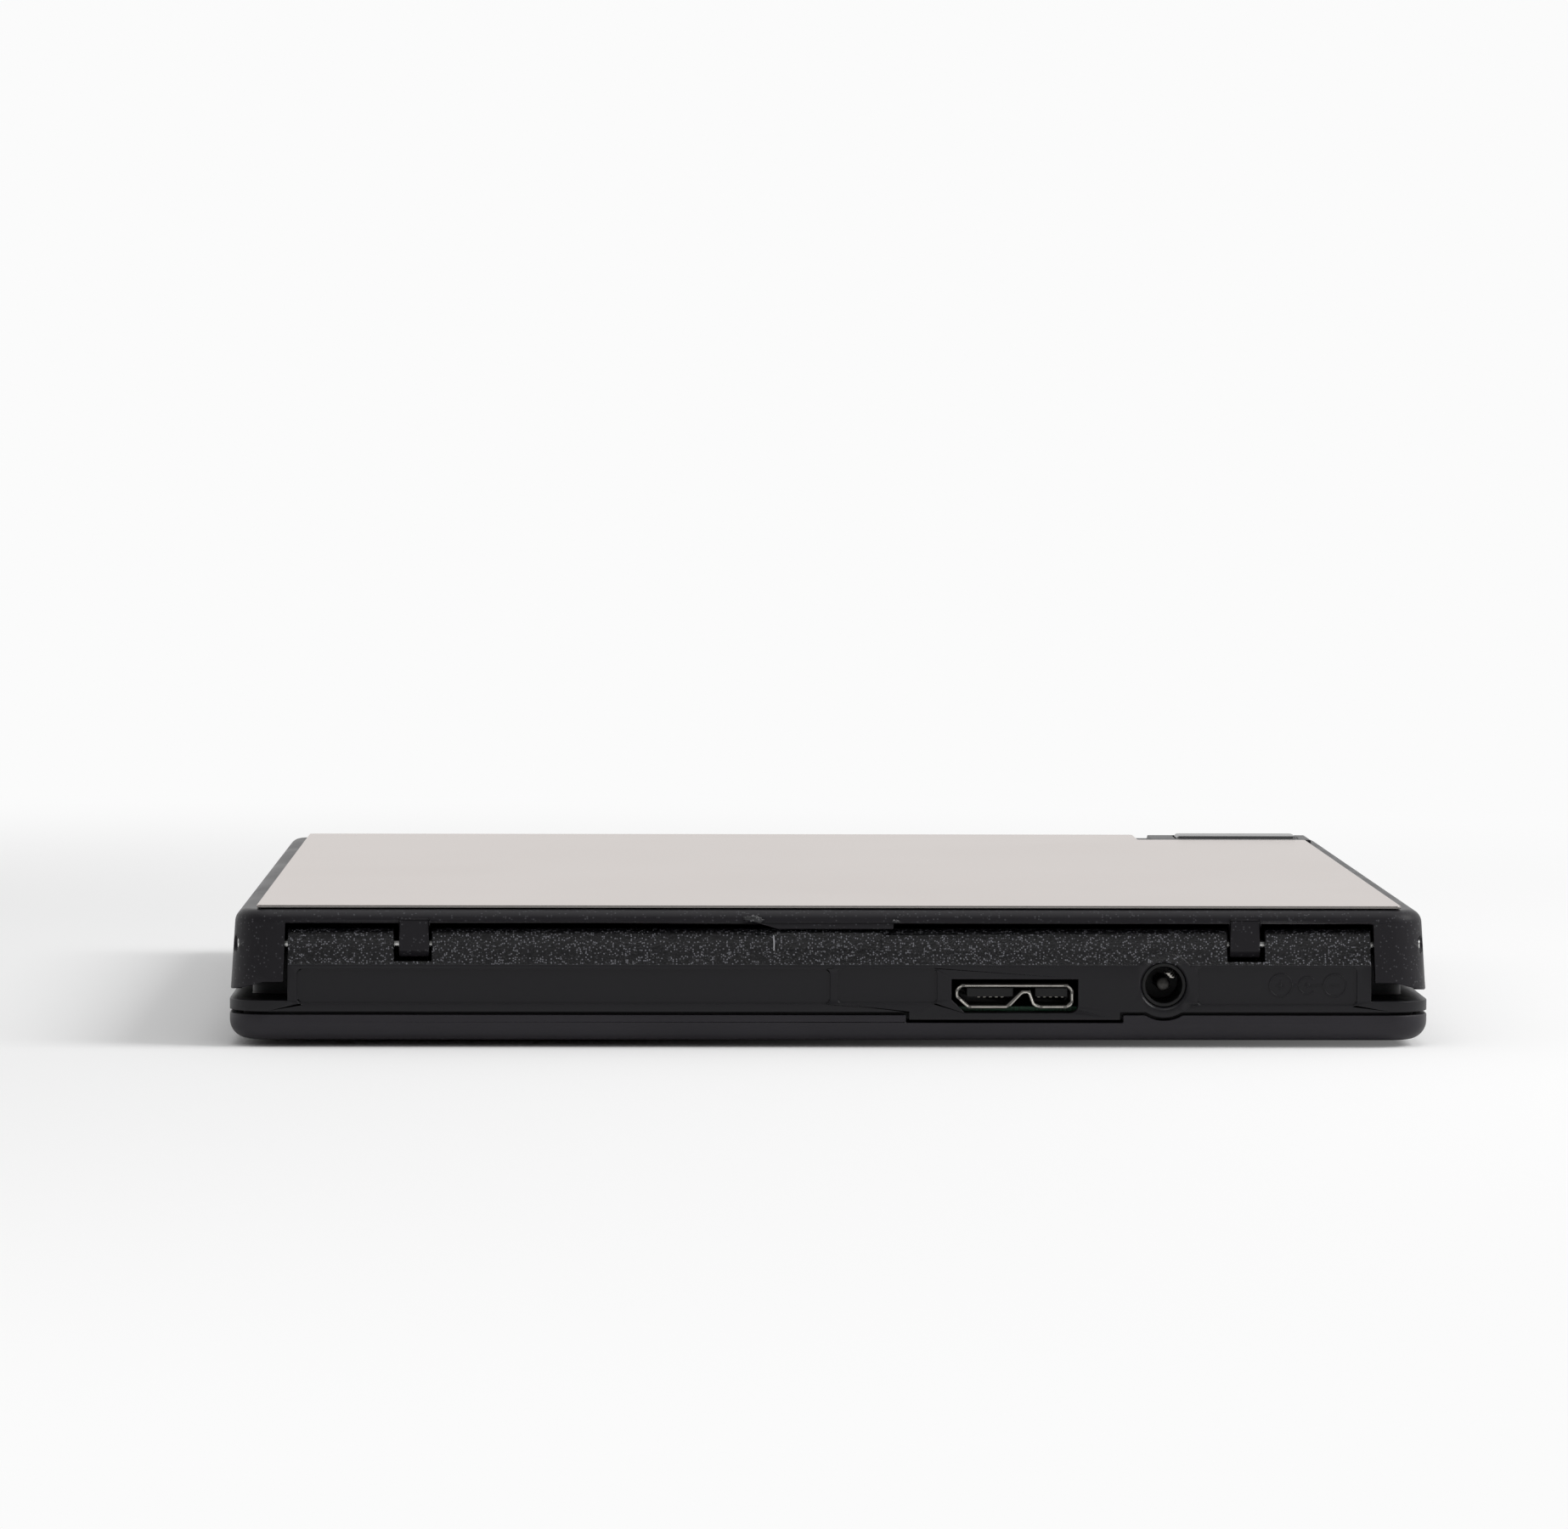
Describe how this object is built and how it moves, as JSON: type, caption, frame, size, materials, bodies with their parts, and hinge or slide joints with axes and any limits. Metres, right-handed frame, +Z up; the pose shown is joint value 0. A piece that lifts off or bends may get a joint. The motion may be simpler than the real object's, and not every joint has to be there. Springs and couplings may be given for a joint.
{
  "type": "external disc writer",
  "caption": "Flat square portable disc writer with a rear-hinged lid, a top eject button, and USB and power sockets at the rear.",
  "frame": {"origin": "middle of the case on the surface that its feet stand on", "axes": "+Z up out of the lid, -Y towards the front edge that opens, +Y towards the hinge and the sockets, +X to the right seen from the front"},
  "size_m": [0.133, 0.133, 0.0159],
  "materials": {
    "lid_plastic": "satin moulded",
    "base_plastic": "fine moulded texture",
    "cover_plastic": "fine moulded texture",
    "plate_coating": "satin coating on sheet metal",
    "button_plastic": "smooth",
    "latch_plastic": "natural acetal",
    "foot_rubber": "matt",
    "damper_rubber": "matt",
    "pin_steel": "ground",
    "screw_steel": "black zinc",
    "socket_steel": "bright tin plate",
    "socket_plastic": "smooth",
    "contact_gold": "gold plate",
    "board_laminate": "solder mask",
    "chip_resin": "fine",
    "chassis_steel": "zinc plate",
    "motor_steel": "nickel plate",
    "turntable_plastic": "smooth",
    "pickup_zinc": "die cast",
    "cover_steel": "bright sheet",
    "nut_plastic": "natural acetal",
    "lens_plastic": "liquid crystal polymer",
    "lens_glass": "coated",
    "light_plastic": "clear"
  },
  "bodies": {
    "base": {"bottom_cover": "cover_plastic", "deck": "base_plastic", "rubber_feet": "foot_rubber", "case_screws": "screw_steel", "hinge_pins": "pin_steel", "usb_shell": "socket_steel", "usb_insulator": "socket_plastic", "usb_contacts": "contact_gold", "dc_jack_body": "socket_plastic", "dc_jack_pin": "socket_steel", "dc_jack_spring": "socket_steel", "main_board": "board_laminate", "board_chips": "chip_resin", "board_screws": "screw_steel", "traverse_chassis": "chassis_steel", "guide_rods": "pin_steel", "chassis_dampers": "damper_rubber", "damper_screws": "screw_steel", "sled_motor": "motor_steel", "spindle_motor_base": "motor_steel", "activity_light": "light_plastic"},
    "lid": {"lid_shell": "lid_plastic", "top_plate": "plate_coating", "lid_bumpers": "foot_rubber"},
    "button": {"eject_button": "button_plastic"},
    "latch": {"latch_bar": "latch_plastic"},
    "spindle": {"motor_rotor": "motor_steel", "spindle_shaft": "pin_steel", "turntable": "turntable_plastic", "chuck_claws": "latch_plastic", "disc_pad": "damper_rubber"},
    "sled": {"pickup_body": "pickup_zinc", "pickup_cover": "cover_steel", "drive_nut": "nut_plastic"},
    "lens": {"lens_holder": "lens_plastic", "objective_lens": "lens_glass"},
    "screw": {"lead_screw": "pin_steel"}
  },
  "joints": [
    {"name": "lid_hinge", "type": "hinge", "parent": "base", "child": "lid", "pos_m": [0, 0.0635, 0.0113], "axis": [-1, 0, 0], "range_deg": [0, 60]},
    {"name": "eject_press", "type": "slide", "parent": "lid", "child": "button", "axis": [0, 0, -1], "range_m": [0, 0.001], "stiffness_N_per_m": 1000, "springref_m": -0.0005},
    {"name": "latch_slide", "type": "slide", "parent": "base", "child": "latch", "axis": [-1, 0, 0], "range_m": [0, 0.001]},
    {"name": "spindle_spin", "type": "hinge", "parent": "base", "child": "spindle", "pos_m": [0, -0.0015, 0.009], "axis": [0, 0, 1], "continuous": true},
    {"name": "sled_travel", "type": "slide", "parent": "base", "child": "sled", "axis": [0.7071, -0.7071, 0], "range_m": [0, 0.033]},
    {"name": "screw_turn", "type": "hinge", "parent": "base", "child": "screw", "pos_m": [0.01584, 0.01434, 0.0042], "axis": [0.7071, -0.7071, 0], "range_deg": [0, 3961]},
    {"name": "lens_focus", "type": "slide", "parent": "sled", "child": "lens", "axis": [0, 0, 1], "range_m": [-0.0003, 0.0003], "stiffness_N_per_m": 60, "springref_m": 0.00004}
  ],
  "couplings": [
    {"joint": "latch_slide", "follows": "eject_press", "ratio": 1},
    {"joint": "screw_turn", "follows": "sled_travel", "rad_per_m": 2094.4}
  ]
}
